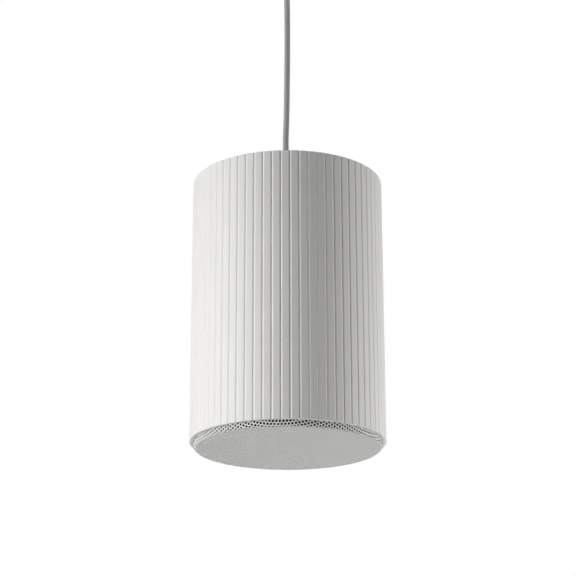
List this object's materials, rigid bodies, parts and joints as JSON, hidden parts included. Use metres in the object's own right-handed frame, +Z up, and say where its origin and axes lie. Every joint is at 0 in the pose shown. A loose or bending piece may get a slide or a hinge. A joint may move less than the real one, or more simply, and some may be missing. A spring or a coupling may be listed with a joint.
{
  "type": "pendant speaker",
  "caption": "Round pendant loudspeaker: a fluted white tube hung on its cable from a small ceiling cup, with a dished perforated grille below.",
  "frame": {"origin": "on the ceiling plane, midway between the ceiling bracket's two fixing holes, over the cable", "axes": "+Z up along the cable and the cabinet's axis; +X along the row of fixing holes; -Y faces the picture's camera"},
  "size_m": [0.2002, 0.2002, 0.5712],
  "materials": {
    "cabinet_paint": "satin white powder coat, fine texture",
    "grille_paint": "satin white powder coat on perforated steel",
    "lid_plastic": "fine moulded texture",
    "gland_plastic": "moulded polyamide",
    "cable_jacket": "smooth PVC",
    "core_insulation": "smooth PVC",
    "seal_rubber": "moulded",
    "screw_steel": "zinc plated",
    "plated_steel": "zinc plated",
    "connector_nylon": "moulded nylon",
    "core_steel": "varnished laminations",
    "winding_tape": "wound polyester tape",
    "black_plastic": "fine moulded texture",
    "basket_paint": "black powder coat",
    "ferrite": "ground ferrite",
    "cone_paper": "coated paper pulp",
    "surround_rubber": "moulded",
    "spider_cloth": "resin treated cotton",
    "coil_former": "wound copper on foil",
    "damping_wool": "polyester wadding",
    "black_fleece": "thin fleece"
  },
  "bodies": {
    "housing": {"cabinet_shell": "cabinet_paint", "ceiling_cup": "cabinet_paint", "grille": "grille_paint", "top_cap": "lid_plastic", "gland_body": "gland_plastic", "gland_nut": "gland_plastic", "gland_locknut": "gland_plastic", "cord_grip": "gland_plastic", "grip_locknut": "gland_plastic", "cable": "cable_jacket", "cable_tail": "cable_jacket", "cable_ceiling_end": "cable_jacket", "cable_cores": "core_insulation", "transformer_leads": "core_insulation", "speaker_leads": "core_insulation", "cap_seal": "seal_rubber", "gland_seal": "seal_rubber", "baffle_gasket": "seal_rubber", "driver_gasket": "seal_rubber", "cap_screws": "screw_steel", "clamp_screws": "screw_steel", "terminal_screws": "screw_steel", "transformer_screws": "screw_steel", "baffle_screws": "screw_steel", "driver_screws": "screw_steel", "cup_screws": "screw_steel", "grip_screw": "screw_steel", "ceiling_bracket": "plated_steel", "transformer_bracket": "plated_steel", "cord_clamp": "plated_steel", "top_plate": "plated_steel", "yoke": "plated_steel", "terminal_block": "connector_nylon", "supply_connector": "connector_nylon", "transformer_core": "core_steel", "transformer_winding": "winding_tape", "baffle": "black_plastic", "driver_terminals": "black_plastic", "basket": "basket_paint", "magnet": "ferrite", "surround": "surround_rubber", "spider": "spider_cloth", "wadding": "damping_wool", "grille_cloth": "black_fleece"},
    "cone_assembly": {"cone": "cone_paper", "dust_cap": "cone_paper", "voice_coil": "coil_former"}
  },
  "joints": [
    {"name": "cone_travel", "type": "slide", "parent": "housing", "child": "cone_assembly", "axis": [0, 0, 1], "range_m": [-0.003, 0.003], "stiffness_N_per_m": 2500, "deforming": ["surround", "spider"]}
  ]
}
